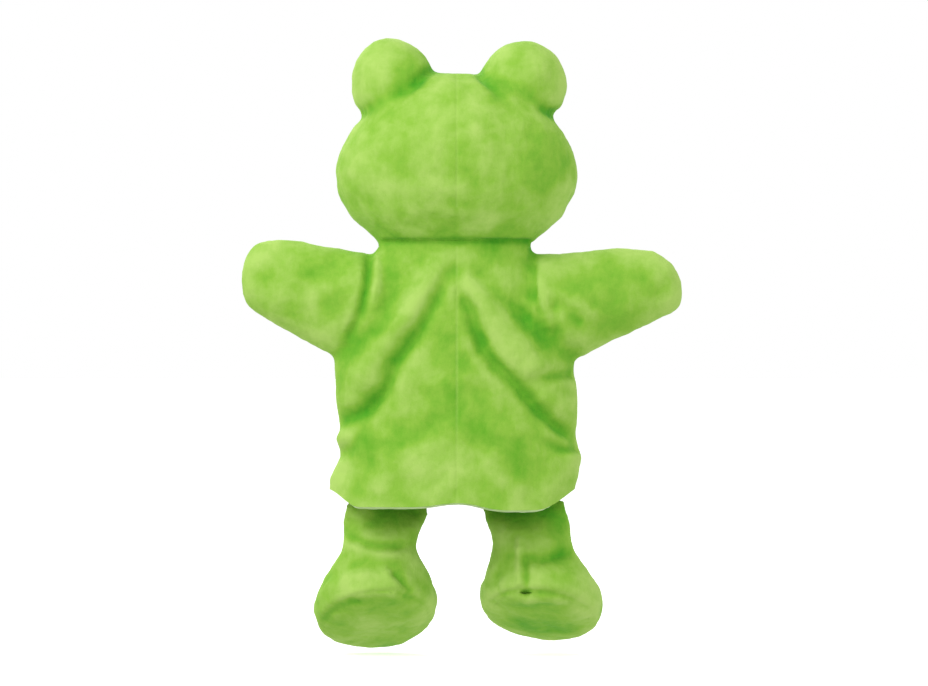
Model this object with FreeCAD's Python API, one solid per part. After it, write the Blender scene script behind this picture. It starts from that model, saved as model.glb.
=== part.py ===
"""Frog hand puppet: plush glove body with a stuffed head, mitt arms, and stuffed legs and feet.

Millimetres. The origin is the middle of the hand opening, on the hem's plane. +Z runs up the glove to the
head, the face looks towards -Y, and the puppet's left side is at +X. The left side is built and then
mirrored across the YZ plane.

Layers, from the outside in: plush, then a thin lining where a hand goes, or loose fibre where it is stuffed.
"""
import FreeCAD
import Part
import os
from math import cos, pi, sin, sqrt

V = FreeCAD.Vector
ORIGIN, ALONG_X, ALONG_Y, ALONG_Z = V(0, 0, 0), V(1, 0, 0), V(0, 1, 0), V(0, 0, 1)

# ---- cloth and clearances
PLUSH = 2.0             # thickness of the plush, with its pile
LINING = 0.6            # thickness of the woven lining
LAYER_GAP = 0.3         # between two layers of cloth, or cloth and stuffing
SEWN_GAP = 0.05         # between a piece that is sewn on and the cloth under it
REACH = 400.0           # longer than the puppet, for cutting tools

# ---- glove body
BODY_HEIGHT = 127.5     # hem to neck
HEM_HALF_WIDTH = 61.0
HEM_HALF_DEPTH = 27.0
WAIST_HALF_WIDTH = 59.5
WAIST_HALF_DEPTH = 25.5
CHEST_HALF_WIDTH = 52.0
CHEST_HALF_DEPTH = 22.8
NECK_HALF_WIDTH = 38.5
NECK_HALF_DEPTH = 20.0
HEM_BAND_HEIGHT = 11.0  # the turned-up edge inside the hem
HEM_BAND = 1.1
BELLY_HALF_WIDTH = 34.0
BELLY_HALF_HEIGHT = 40.0
BELLY_ABOVE_HEM = 10.0
BELLY_CLOTH = 1.1

# ---- armholes and arms
ARM_TILT = 16.0         # degrees that an arm's own line rises above the horizontal
ARMHOLE_DROP = 28.0     # neck plane down to the armhole's centre
ARMHOLE_SPREAD = 51.0   # puppet's middle out to the armhole's centre
ARMHOLE_HALF_HEIGHT = 29.0
ARMHOLE_HALF_DEPTH = 22.0
ARMHOLE_SEAM = 1.3      # the sewn edge's thickness across the hole
ARMHOLE_SEAM_WIDTH = 1.6
ARM_LENGTH = 59.0       # armhole to tip
ARM_HALF_HEIGHT = 21.0
ARM_DEPTH_SHARE = 0.62  # an arm's depth over its height
ARM_ROOT_NARROWING = 3.0
ARM_ROOT_TAPER = 18.0   # length over which the root widens
ARM_ROOT_START = 2.0    # armhole plane to the arm's open end

# ---- neck
NECK_SEAM_HEIGHT = 2.0
NECK_SEAM_WIDTH = 4.0
NECK_SEAM_INSET = 1.0
NECK_GAP = 0.5          # neck plane to the neck seam
NECK_SLEEVE_RADIUS = 14.0
NECK_SLEEVE_BELOW = 9.0  # how far the sleeve hangs below the neck plane

# ---- head
HEAD_LIFT = 6.0         # neck seam to the chin, room for the head to rock
HEAD_HALF_WIDTH = 60.0
HEAD_HALF_DEPTH = 39.0
JAW_HEIGHT = 31.0       # chin to the widest line
CROWN_HEIGHT = 48.5     # widest line to the crown
FINGER_BORE_RADIUS = 10.5
FINGER_TUBE_WALL = 1.5
FINGER_TUBE_LENGTH = 44.0
MOUTH_RADIUS = 46.0     # the smile is an arc of this radius
MOUTH_BELOW_EQUATOR = 19.0
MOUTH_HALF_WIDTH = 36.0
STITCH_WIDTH = 2.2
STITCH_RAISE = 1.1
NOSTRIL_SPREAD = 5.5
NOSTRIL_ABOVE_EQUATOR = 4.0
NOSTRIL_HALF_WIDTH = 1.5
NOSTRIL_HALF_HEIGHT = 2.2

# ---- eyes
DOME_SPREAD = 33.8
DOME_BELOW_CROWN = 4.5
DOME_FORWARD = 4.0
DOME_HALF_WIDTH = 20.8
DOME_HALF_DEPTH = 18.5
DOME_HALF_HEIGHT = 21.5
IRIS_RADIUS = 10.8      # the white felt disc
IRIS_RISE = 4.0         # its centre above the dome's centre
FELT = 1.6
PUPIL_RADIUS = 6.0
PUPIL_BULGE = 4.0
SHANK_RADIUS = 1.6
SHANK_LENGTH = 12.0
SHANK_CLEARANCE = 0.2
WASHER_RADIUS = 5.5
WASHER = 1.4
WASHER_BITE = 0.02      # the washer's hole over the shank

# ---- legs
HIP_FORWARD = 22.5      # hip seam in front of the middle
HIP_SPREAD = 35.0
HIP_GAP = 1.6           # hem plane to the leg's sewn top
LEG_HALF_WIDTH = 20.0
LEG_HALF_DEPTH = 12.5
LEG_LENGTH = 18.4
ANKLE_HALF_WIDTH = 16.5
ANKLE_HALF_DEPTH = 11.0
ANKLE_SPREAD = 39.0
ANKLE_FORWARD = 11.5
HIP_SEAM_HALF_DEPTH = 1.8
ANKLE_SEAM_HALF_WIDTH = 14.0  # the flat stitched crease that the foot flops on
ANKLE_SEAM_HALF_DEPTH = 2.6
ANKLE_SEAM = 1.0

# ---- feet
ANKLE_GAP = 3.0         # leg's lower end to the ankle's axis
FOOT_HALF_WIDTH = 30.0
FOOT_HALF_LENGTH = 33.0
FOOT_HALF_THICKNESS = 17.0
FOOT_DROOP = 26.0       # degrees that the toes hang below the horizontal
FOOT_OUT = 1.5          # foot's middle outside the ankle
FOOT_AHEAD = 15.5       # foot's middle ahead of the ankle
FOOT_BELOW = 26.5       # foot's middle below the ankle
SOLE_LEVEL = 9.0        # foot's middle to the edge where the sole is sewn
SOLE = 2.0

# ---- places that follow from the sizes above
ARMHOLE = V(ARMHOLE_SPREAD, 0, BODY_HEIGHT - ARMHOLE_DROP)
NECK_SEAM_Z = BODY_HEIGHT + NECK_GAP
CHIN_Z = NECK_SEAM_Z + NECK_SEAM_HEIGHT + HEAD_LIFT
HEAD = V(0, 0, CHIN_Z + JAW_HEIGHT)
EYE = V(DOME_SPREAD, -DOME_FORWARD, HEAD.z + CROWN_HEIGHT - DOME_BELOW_CROWN)
IRIS = EYE + V(0, 0, IRIS_RISE)
MOUTH_CENTRE = HEAD + V(0, 0, MOUTH_RADIUS - MOUTH_BELOW_EQUATOR)
ANKLE = V(ANKLE_SPREAD, -ANKLE_FORWARD, -HIP_GAP - LEG_LENGTH - ANKLE_GAP)
FOOT = ANKLE + V(FOOT_OUT, -FOOT_AHEAD, -FOOT_BELOW)
DOME_AXES = (DOME_HALF_WIDTH, DOME_HALF_DEPTH, DOME_HALF_HEIGHT)


# ---- solids that the pieces are cut from
def stretched(shape, x=1.0, y=1.0, z=1.0):
    """The shape scaled by its own share along each axis, about the origin."""
    matrix = FreeCAD.Matrix()
    matrix.A11, matrix.A22, matrix.A33 = x, y, z
    return shape.transformGeometry(matrix)


def moved(shape, to):
    return shape.translated(to)


def slab(low_z, high_z):
    return Part.makeBox(2 * REACH, 2 * REACH, high_z - low_z, V(-REACH, -REACH, low_z))


def half(side):
    """Everything on one side of a middle plane: left, right, back or front."""
    corner = {"left": V(0, -REACH, -REACH), "right": V(-2 * REACH, -REACH, -REACH),
              "back": V(-REACH, 0, -REACH), "front": V(-REACH, -2 * REACH, -REACH)}[side]
    return Part.makeBox(2 * REACH, 2 * REACH, 2 * REACH, corner)


def ellipsoid(centre, half_x, half_y, half_z):
    """A ball turned so that its poles and its seam stay off the middle planes, then stretched."""
    ball = Part.makeSphere(half_x)
    ball.rotate(ORIGIN, V(3, 5, 1), 50)
    ball = stretched(ball, 1.0, half_y / half_x, half_z / half_x)
    return moved(ball, centre)


def ellipse_wire(centre, half_x, half_y):
    """An ellipse in a level plane."""
    if half_x >= half_y:
        curve = Part.Ellipse(centre + V(half_x, 0, 0), centre + V(0, half_y, 0), centre)
    else:
        curve = Part.Ellipse(centre + V(0, half_y, 0), centre + V(-half_x, 0, 0), centre)
    return Part.Wire([curve.toShape()])


def oval_prism(half_x, half_y, low_z, high_z):
    base = Part.Face(ellipse_wire(V(0, 0, low_z), half_x, half_y))
    return base.extrude(V(0, 0, high_z - low_z))


def oval_ring(half_x, half_y, width, low_z, high_z):
    outer = oval_prism(half_x, half_y, low_z, high_z)
    return outer.cut(oval_prism(half_x - width, half_y - width, low_z - 1, high_z + 1))


def oval_along_y(centre, half_x, half_z, length=REACH):
    """An oval bar that runs forward, towards -Y, from the centre."""
    bar = oval_prism(half_x, half_z, 0, length)
    bar.rotate(ORIGIN, ALONG_X, 90)
    return moved(bar, centre)


def to_arm(shape):
    """From an arm's own frame, with Z along the arm and X down it, to its place on the left side."""
    placed = shape.copy()
    placed.rotate(ORIGIN, ALONG_Y, 90 - ARM_TILT)
    return moved(placed, ARMHOLE)


def to_foot(shape):
    """From a foot's own frame, with -Y towards the toes and -Z through the sole, to its place."""
    placed = shape.copy()
    placed.rotate(ORIGIN, ALONG_X, FOOT_DROOP)
    return moved(placed, FOOT)


def mirrored(shape):
    return shape.mirror(ORIGIN, ALONG_X)


# ---- forms with an inset, so that each layer follows the one outside it
def body_tube(inset):
    """The glove's tube, run on past the hem and the neck so that a layer can be cut level at both."""
    past = 6.0
    hem = (HEM_HALF_WIDTH, HEM_HALF_DEPTH)
    waist = (WAIST_HALF_WIDTH, WAIST_HALF_DEPTH)
    chest = (CHEST_HALF_WIDTH, CHEST_HALF_DEPTH)
    neck = (NECK_HALF_WIDTH, NECK_HALF_DEPTH)
    heights = ((-past, hem), (0.0, hem), (0.45 * BODY_HEIGHT, waist), (BODY_HEIGHT - ARMHOLE_DROP, chest),
               (BODY_HEIGHT, neck), (BODY_HEIGHT + past, neck))
    wires = [ellipse_wire(V(0, 0, z), a - inset, b - inset) for z, (a, b) in heights]
    return Part.makeLoft(wires, True, False)


def armhole_stub(inset, past=0.0):
    """The short sleeve that joins the tube to the armhole, on the left."""
    stub = oval_prism(ARMHOLE_HALF_HEIGHT - inset, ARMHOLE_HALF_DEPTH - inset, -0.6 * ARMHOLE_SPREAD, past)
    return to_arm(stub)


def glove_form(inset, past=0.0):
    stub = armhole_stub(inset, past)
    return body_tube(inset).fuse([stub, mirrored(stub)])


def mitt_form(inset, start):
    """A mitt: a cone at the root, a straight stretch and a round tip, flattened front to back."""
    radius = ARM_HALF_HEIGHT - inset
    root = radius - ARM_ROOT_NARROWING
    bend = ARM_LENGTH - ARM_HALF_HEIGHT
    wide = ARM_ROOT_START + ARM_ROOT_TAPER
    slope = ARM_ROOT_NARROWING / ARM_ROOT_TAPER
    first = root - slope * (ARM_ROOT_START - start)
    corners = [V(0, 0, start), V(first, 0, start), V(radius, 0, wide), V(radius, 0, bend)]
    edges = [Part.makeLine(a, b) for a, b in zip(corners, corners[1:])]
    tip = V(0, 0, bend + radius)
    shoulder = V(radius * sin(pi / 4), 0, bend + radius * cos(pi / 4))
    edges.append(Part.Arc(corners[-1], shoulder, tip).toShape())
    edges.append(Part.makeLine(tip, corners[0]))
    turned = Part.Face(Part.Wire(edges)).revolve(ORIGIN, ALONG_Z, 360)
    depth = ARM_HALF_HEIGHT * ARM_DEPTH_SHARE - inset
    return to_arm(stretched(turned, 1.0, depth / radius))


def head_outline(inset):
    """The right-hand half of the head's front view: a half ellipse under its widest line, one above it."""
    chin, crown = V(0, 0, -JAW_HEIGHT + inset), V(0, 0, CROWN_HEIGHT - inset)
    side = V(HEAD_HALF_WIDTH - inset, 0, 0)
    jaw = Part.ArcOfEllipse(Part.Ellipse(side, chin, ORIGIN), 0, pi / 2).toShape()
    top = Part.ArcOfEllipse(Part.Ellipse(side, crown, ORIGIN), 0, pi / 2).toShape()
    return Part.Face(Part.Wire(Part.__sortEdges__([jaw, top, Part.makeLine(chin, crown)])))


def turned_head(outline, depth_share, start, sweep):
    """An outline turned about the head's own axis, from a start angle, and flattened front to back."""
    placed = outline.copy()
    placed.rotate(ORIGIN, ALONG_Z, start)
    return moved(stretched(placed.revolve(ORIGIN, ALONG_Z, sweep), 1.0, depth_share), HEAD)


def head_form(inset):
    depth_share = (HEAD_HALF_DEPTH - inset) / (HEAD_HALF_WIDTH - inset)
    return turned_head(head_outline(inset), depth_share, 45, 360)


def head_panel(start, sweep):
    """A panel of the head's plush, from a start angle that is counted from the puppet's left."""
    wall = head_outline(0.0).cut(head_outline(PLUSH))
    return turned_head(wall.Faces[0], HEAD_HALF_DEPTH / HEAD_HALF_WIDTH, start, sweep)


def dome_form(inset):
    return ellipsoid(EYE, *(axis - inset for axis in DOME_AXES))


def leg_form(inset):
    """From the flat hip seam to the round ankle."""
    top, foot_end = -HIP_GAP, -HIP_GAP - LEG_LENGTH
    stations = (
        (0.0, HIP_SPREAD, HIP_FORWARD, LEG_HALF_WIDTH, HIP_SEAM_HALF_DEPTH),
        (0.3, HIP_SPREAD, HIP_FORWARD - 0.55 * LEG_HALF_DEPTH, LEG_HALF_WIDTH, 0.75 * LEG_HALF_DEPTH),
        (0.65, 0.5 * (HIP_SPREAD + ANKLE_SPREAD), ANKLE_FORWARD + 1.0, LEG_HALF_WIDTH - 1.0, LEG_HALF_DEPTH),
        (1.0, ANKLE_SPREAD, ANKLE_FORWARD, ANKLE_HALF_WIDTH, ANKLE_HALF_DEPTH))
    wires = []
    for share, spread, forward, half_x, half_y in stations:
        z = top + share * (foot_end - top)
        shrink = min(inset, 0.6 * half_y)
        wires.append(ellipse_wire(V(spread, -forward, z), half_x - inset, half_y - shrink))
    return Part.makeLoft(wires, True, False)


def foot_form(inset):
    return ellipsoid(ORIGIN, FOOT_HALF_WIDTH - inset, FOOT_HALF_LENGTH - inset, FOOT_HALF_THICKNESS - inset)


# ---- pieces
def body_pieces():
    armholes = to_arm(oval_prism(ARMHOLE_HALF_HEIGHT, ARMHOLE_HALF_DEPTH, 0, ARMHOLE_SPREAD))
    level = slab(0, BODY_HEIGHT)
    outer, inner = glove_form(0.0), glove_form(PLUSH, ARM_ROOT_START)
    shell = outer.cut(inner).common(level).cut([armholes, mirrored(armholes)])
    back = shell.common(half("back"))

    lining_out, lining_in = PLUSH + LAYER_GAP, PLUSH + LAYER_GAP + LINING
    above_band = slab(HEM_BAND_HEIGHT + LAYER_GAP, BODY_HEIGHT)
    lining = glove_form(lining_out).cut(glove_form(lining_in, ARM_ROOT_START))
    lining = lining.common(above_band).cut([armholes, mirrored(armholes)])

    band_out = PLUSH + LAYER_GAP
    band = body_tube(band_out).cut(body_tube(band_out + HEM_BAND)).common(slab(0, HEM_BAND_HEIGHT))

    middle = V(0, 0, BELLY_ABOVE_HEM + BELLY_HALF_HEIGHT)
    patch = body_tube(-SEWN_GAP - BELLY_CLOTH).cut(body_tube(-SEWN_GAP))
    patch = patch.common(oval_along_y(middle, BELLY_HALF_WIDTH, BELLY_HALF_HEIGHT))
    return {
        "back_panel_left": back.common(half("left")),
        "back_panel_right": back.common(half("right")),
        "front_panel": shell.common(half("front")),
        "glove_lining": lining,
        "hem_band": band,
        "belly_patch": patch,
    }


def neck_pieces():
    low, high = NECK_SEAM_Z, NECK_SEAM_Z + NECK_SEAM_HEIGHT
    seam = oval_ring(NECK_HALF_WIDTH - NECK_SEAM_INSET, NECK_HALF_DEPTH - NECK_SEAM_INSET,
                     NECK_SEAM_WIDTH, low, high)
    sleeve = oval_ring(NECK_SLEEVE_RADIUS, NECK_SLEEVE_RADIUS, LINING + LAYER_GAP,
                       BODY_HEIGHT - NECK_SLEEVE_BELOW, high)
    return {"neck_seam": seam, "neck_sleeve": sleeve}


def on_the_face(shape):
    """The part of a bar that lies on the face as raised stitching."""
    layer = head_form(-SEWN_GAP - STITCH_RAISE).cut(head_form(-SEWN_GAP))
    return layer.common(shape).common(half("front"))


def head_pieces():
    tube_radius = FINGER_BORE_RADIUS + FINGER_TUBE_WALL
    tube_low, tube_high = CHIN_Z, CHIN_Z + FINGER_TUBE_LENGTH
    bore_high = tube_high - FINGER_TUBE_WALL
    tube = Part.makeCylinder(tube_radius, FINGER_TUBE_LENGTH, V(0, 0, tube_low))
    tube = tube.cut(Part.makeCylinder(FINGER_BORE_RADIUS, bore_high - tube_low + 1, V(0, 0, tube_low - 1)))
    room = Part.makeCylinder(tube_radius + LAYER_GAP, FINGER_TUBE_LENGTH + LAYER_GAP + 1, V(0, 0, tube_low - 1))

    back_left = head_panel(0, 90).cut(room)
    face_left = head_panel(-90, 90).cut(room)

    smile = Part.makeCylinder(MOUTH_RADIUS + STITCH_WIDTH / 2, REACH, ORIGIN, V(0, -1, 0))
    smile = smile.cut(Part.makeCylinder(MOUTH_RADIUS - STITCH_WIDTH / 2, REACH, ORIGIN, V(0, -1, 0)))
    corners = MOUTH_CENTRE.z - sqrt(MOUTH_RADIUS**2 - MOUTH_HALF_WIDTH**2)
    smile = moved(smile, MOUTH_CENTRE).common(slab(-REACH, corners))
    nose = V(NOSTRIL_SPREAD, 0, HEAD.z + NOSTRIL_ABOVE_EQUATOR)
    nostril = on_the_face(oval_along_y(nose, NOSTRIL_HALF_WIDTH, NOSTRIL_HALF_HEIGHT))
    return {
        "head_back_left": back_left,
        "head_back_right": mirrored(back_left),
        "head_face": face_left.fuse(mirrored(face_left)),
        "head_stuffing": head_form(PLUSH + LAYER_GAP).cut(room),
        "finger_tube": tube,
        "mouth_stitching": on_the_face(smile),
        "nostril_stitching": Part.makeCompound([nostril, mirrored(nostril)]),
    }


def eye_pieces():
    """The left eye: a plush dome with its stuffing, a felt disc, a domed pupil on a shank, and its washer."""
    skull = head_form(-SEWN_GAP)
    to_back = V(0, 1, 0)
    front = IRIS + V(0, -DOME_HALF_DEPTH * sqrt(1 - (IRIS_RISE / DOME_HALF_HEIGHT) ** 2), 0)
    shank_low = front + V(0, -SEWN_GAP - FELT - SEWN_GAP, 0)
    shank = Part.makeCylinder(SHANK_RADIUS, SHANK_LENGTH, shank_low, to_back)
    hole = Part.makeCylinder(SHANK_RADIUS + SHANK_CLEARANCE, SHANK_LENGTH + 2 * PUPIL_BULGE,
                             shank_low - PUPIL_BULGE * to_back, to_back)

    felt = dome_form(-SEWN_GAP - FELT).cut([dome_form(-SEWN_GAP), skull, hole])
    felt = felt.common(oval_along_y(IRIS, IRIS_RADIUS, IRIS_RADIUS))

    pupil = ellipsoid(shank_low, PUPIL_RADIUS, PUPIL_BULGE, PUPIL_RADIUS)
    pupil = pupil.cut(dome_form(-2 * SEWN_GAP - FELT)).fuse(shank)

    washer_edge = DOME_HALF_DEPTH * sqrt(1 - ((IRIS_RISE + WASHER_RADIUS) / DOME_HALF_HEIGHT) ** 2)
    washer_at = V(front.x, EYE.y - washer_edge + PLUSH + 2 * LAYER_GAP, front.z)
    washer = Part.makeCylinder(WASHER_RADIUS, WASHER, washer_at, to_back)
    washer = washer.cut(Part.makeCylinder(SHANK_RADIUS + WASHER_BITE, WASHER + 2, washer_at - to_back, to_back))
    pocket = Part.makeCylinder(WASHER_RADIUS + LAYER_GAP, WASHER + 2 * PLUSH + LAYER_GAP,
                               washer_at - 2 * PLUSH * to_back, to_back)
    shell = dome_form(0.0).cut([dome_form(PLUSH), skull, hole])
    stuffing = dome_form(PLUSH + LAYER_GAP).cut([head_form(-SEWN_GAP - LAYER_GAP), hole, pocket])
    return {
        "eye_dome": shell,
        "eye_stuffing": stuffing,
        "eye_felt": felt,
        "eye_pupil": pupil,
        "eye_washer": washer,
    }


def arm_pieces():
    """The left arm, with the sewn ring that joins it to the armhole."""
    ring_out = PLUSH + LAYER_GAP + LINING + LAYER_GAP
    ring = oval_ring(ARMHOLE_HALF_HEIGHT - ring_out, ARMHOLE_HALF_DEPTH - ring_out, ARMHOLE_SEAM,
                     -ARMHOLE_SEAM_WIDTH / 2, ARMHOLE_SEAM_WIDTH / 2)
    shell = mitt_form(0.0, ARM_ROOT_START).cut(mitt_form(PLUSH, ARM_ROOT_START - 1))
    lining_out = PLUSH + LAYER_GAP
    lining = mitt_form(lining_out, ARM_ROOT_START).cut(mitt_form(lining_out + LINING, ARM_ROOT_START - 1))
    return {
        "armhole_seam": to_arm(ring),
        "arm_back": shell.common(half("back")),
        "arm_front": shell.common(half("front")),
        "arm_lining": lining,
    }


def leg_pieces():
    cover = leg_form(0.0).cut(leg_form(PLUSH))
    crease = oval_prism(ANKLE_SEAM_HALF_WIDTH, ANKLE_SEAM_HALF_DEPTH, -ANKLE_SEAM / 2, ANKLE_SEAM / 2)
    stuffing = leg_form(PLUSH + LAYER_GAP)
    upper = foot_form(0.0).cut(foot_form(PLUSH)).common(slab(-SOLE_LEVEL, REACH))
    share = sqrt(1 - (SOLE_LEVEL / FOOT_HALF_THICKNESS) ** 2)
    sole_low = -SOLE_LEVEL - LAYER_GAP - SOLE
    sole = oval_prism(FOOT_HALF_WIDTH * share, FOOT_HALF_LENGTH * share, sole_low, sole_low + SOLE)
    filling = foot_form(PLUSH + LAYER_GAP).common(slab(-SOLE_LEVEL, REACH))
    return {
        "leg_cover": cover,
        "leg_stuffing": stuffing,
        "ankle_seam": moved(crease, ANKLE + V(0, 0, ANKLE_SEAM)),
        "foot_upper": to_foot(upper),
        "foot_sole": to_foot(sole),
        "foot_stuffing": to_foot(filling),
    }


def both_sides(pieces):
    named = {}
    for name, shape in pieces.items():
        named[name + "_left"] = shape
        named[name + "_right"] = mirrored(shape)
    return named


def main():
    os.makedirs("parts", exist_ok=True)
    pieces = {**body_pieces(), **neck_pieces(), **head_pieces()}
    for side in (eye_pieces(), arm_pieces(), leg_pieces()):
        pieces.update(both_sides(side))
    for name, shape in pieces.items():
        solids = shape.Solids
        sound = bool(solids) and all(s.isValid() and s.Volume > 0 for s in solids)
        print(f"{name}: {len(solids)} solid, {shape.Volume / 1000:.2f} cm3{'' if sound else ' UNSOUND'}")
        Part.makeCompound(solids).exportStep(f"parts/{name}.step")


main()
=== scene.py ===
"""Frog glove puppet: the cloth, stuffing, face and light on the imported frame.

Sizes that are typed here are in millimetres and are turned to metres by MM. The puppet's left is at +X, its
face looks towards -Y, and the hand goes in from below at the origin.
"""
from math import cos, pi, radians, sin, sqrt
import bmesh
import bpy
import numpy as np
from mathutils import Matrix, Vector, noise
from mathutils.bvhtree import BVHTree


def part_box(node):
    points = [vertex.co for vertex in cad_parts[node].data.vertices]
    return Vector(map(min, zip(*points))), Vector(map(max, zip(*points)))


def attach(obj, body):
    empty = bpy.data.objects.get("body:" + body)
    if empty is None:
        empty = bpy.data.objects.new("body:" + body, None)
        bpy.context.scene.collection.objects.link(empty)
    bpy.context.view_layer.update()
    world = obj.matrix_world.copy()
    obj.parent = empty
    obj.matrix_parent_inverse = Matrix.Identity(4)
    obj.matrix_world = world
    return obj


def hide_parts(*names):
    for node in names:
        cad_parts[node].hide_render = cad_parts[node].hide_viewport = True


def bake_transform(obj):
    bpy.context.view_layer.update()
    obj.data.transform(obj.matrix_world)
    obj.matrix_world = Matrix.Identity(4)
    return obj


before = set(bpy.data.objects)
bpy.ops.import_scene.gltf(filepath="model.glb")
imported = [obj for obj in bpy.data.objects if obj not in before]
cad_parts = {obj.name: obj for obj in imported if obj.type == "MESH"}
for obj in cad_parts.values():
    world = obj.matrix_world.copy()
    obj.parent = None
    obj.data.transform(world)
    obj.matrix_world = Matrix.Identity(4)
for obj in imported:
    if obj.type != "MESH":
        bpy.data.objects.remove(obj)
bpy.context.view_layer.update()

MM = 0.001

# ---- cloth
PILE = 2.0              # plush with its pile
KNIT = 0.6              # the lining
HEM_CLOTH = 1.1         # the turned edge, knit on two sides
BELLY_CLOTH = 1.1
EYE_FELT = 1.5
HEM_TUCK = 12.0         # height of the turned edge inside the hem
HEM_SHOWS = 1.0         # how far the turned edge hangs below the plush
LINING_GAP, HEM_GAP, MITT_GAP = 0.5, 0.2, 0.6   # between the plush and the cloth under it
FIBRE_DEPTH = 4.0       # from the plush's face down to the loose fibre

# ---- mesh spacing before the last subdivision
SKIN_VOXEL = 2.2
LEG_VOXEL = 1.8
FIBRE_VOXEL = 4.0

# ---- where the cloth changes from one body to the next
TILT = radians(16)
ARM_LINE = Vector((cos(TILT), 0, sin(TILT)))
ARMHOLE = Vector((51, 0, 99.5))
SHOULDER = (1.0, 13.0)  # along the arm's line: the armhole's gather
ARM_BEND = (13.0, 36.0)
NECK_TWIST = (129.0, 136.0)
NECK_ROCK = (136.0, 148.0)
HEAD_NOD = (148.0, 162.0)
HIP_BEND = (1.0, -13.0)
ANKLE_BEND = (-17.0, -27.0)
FOOT_TURN = (-27.0, -37.0)
NECK_SEAM = 131.5


# ---- small tools
def clear_selection():
    for obj in bpy.context.selected_objects:
        obj.select_set(False)


def choose(*objs):
    clear_selection()
    for obj in objs:
        obj.select_set(True)
    bpy.context.view_layer.objects.active = objs[-1]


def finish_modifier(obj, kind, **settings):
    choose(obj)
    modifier = obj.modifiers.new(kind.lower(), kind)
    for key, value in settings.items():
        setattr(modifier, key, value)
    bpy.ops.object.modifier_apply(modifier=modifier.name)


def copy_of(obj, name):
    twin = obj.copy()
    twin.data = obj.data.copy()
    twin.name = twin.data.name = name
    bpy.context.scene.collection.objects.link(twin)
    return twin


def discard(*objs):
    for obj in objs:
        mesh = obj.data
        bpy.data.objects.remove(obj)
        bpy.data.meshes.remove(mesh)


def smooth_step(value):
    t = np.clip(value, 0.0, 1.0)
    return t * t * (3 - 2 * t)


# ---- rough forms
def lofted(name, stations, across="Z"):
    """A closed form drawn out of an oval: each station is a centre and two half widths, in mm."""
    turn = (0, 0, 0) if across == "Z" else (0, pi / 2, 0)
    x, y, z = stations[0][:3]
    clear_selection()
    bpy.ops.mesh.primitive_circle_add(vertices=56, radius=MM, fill_type="NGON",
                                      location=(x * MM, y * MM, z * MM), rotation=turn)
    form = bpy.context.object
    form.name = form.data.name = name
    bpy.ops.object.transform_apply(location=True, rotation=True, scale=True)
    bpy.ops.object.mode_set(mode="EDIT")
    bpy.ops.mesh.select_all(action="SELECT")
    size, place = (1.0, 1.0), Vector((x, y, z)) * MM
    for index, (x, y, z, first, second) in enumerate(stations):
        there = Vector((x, y, z)) * MM
        if index:
            bpy.ops.mesh.extrude_region_move(TRANSFORM_OT_translate={"value": there - place})
        grow = (first / size[0], second / size[1])
        scale = (grow[0], grow[1], 1) if across == "Z" else (1, grow[0], grow[1])
        bpy.ops.transform.resize(value=scale, center_override=there)
        size, place = (first, second), there
    bpy.ops.mesh.select_all(action="SELECT")
    bpy.ops.mesh.normals_make_consistent(inside=False)
    bpy.ops.object.mode_set(mode="OBJECT")
    return form


def ball(name, centre, radii, turn=(0, 0, 0)):
    clear_selection()
    bpy.ops.mesh.primitive_uv_sphere_add(segments=48, ring_count=24, radius=1, location=Vector(centre) * MM,
                                         rotation=turn, scale=Vector(radii) * MM)
    form = bpy.context.object
    form.name = form.data.name = name
    bpy.ops.object.transform_apply(location=True, rotation=True, scale=True)
    return form


def melted(name, forms, passes, voxel):
    """One even skin over several rough forms, smoothed where they meet."""
    choose(*forms)
    bpy.ops.object.join()
    skin = bpy.context.object
    skin.name = skin.data.name = name
    finish_modifier(skin, "REMESH", mode="VOXEL", voxel_size=voxel * MM, use_smooth_shade=True)
    finish_modifier(skin, "SMOOTH", factor=0.5, iterations=passes)
    finish_modifier(skin, "SUBSURF", levels=1, render_levels=1)
    return skin


# ---- moving the skin's points
def points_of(obj):
    points = np.empty(len(obj.data.vertices) * 3)
    obj.data.vertices.foreach_get("co", points)
    return points.reshape(-1, 3) / MM


def normals_of(obj):
    normals = np.empty(len(obj.data.vertices) * 3)
    obj.data.vertex_normals.foreach_get("vector", normals)
    return normals.reshape(-1, 3)


def place_points(obj, points):
    obj.data.vertices.foreach_set("co", (points * MM).ravel())
    obj.data.update()


def from_path(across, up, path):
    """How far each point lies from a path, and how far along it, from 0 to 1."""
    path = np.array(path, float)
    lengths = np.linalg.norm(np.diff(path, axis=0), axis=1)
    before = np.concatenate([[0], np.cumsum(lengths)])
    nearest = np.full(len(across), 1e9)
    share = np.zeros(len(across))
    for start, end, length, done in zip(path, path[1:], lengths, before):
        step = (end - start) / length
        t = np.clip((across - start[0]) * step[0] + (up - start[1]) * step[1], 0, length)
        away = np.hypot(across - start[0] - t * step[0], up - start[1] - t * step[1])
        closer = away < nearest
        nearest = np.where(closer, away, nearest)
        share = np.where(closer, (done + t) / before[-1], share)
    return nearest, share


def pressed(obj, folds, facing):
    """Ridges and valleys along paths in the front view, on the skin that faces one way (1 back, -1 front).

    A fold is (path, width, height at its start, height at its end), in mm.
    """
    points, normals = points_of(obj), normals_of(obj)
    on_side = smooth_step(normals[:, 1] * facing * 1.2 + 0.45)
    rise = np.zeros(len(points))
    for path, width, first, last in folds:
        away, share = from_path(points[:, 0], points[:, 2], path)
        fade = smooth_step(share * 6) * smooth_step((1 - share) * 6) * 0.6 + 0.4
        rise += (first + (last - first) * share) * fade * np.exp(-((away / width) ** 2))
    place_points(obj, points + normals * (rise * on_side)[:, None])


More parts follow.
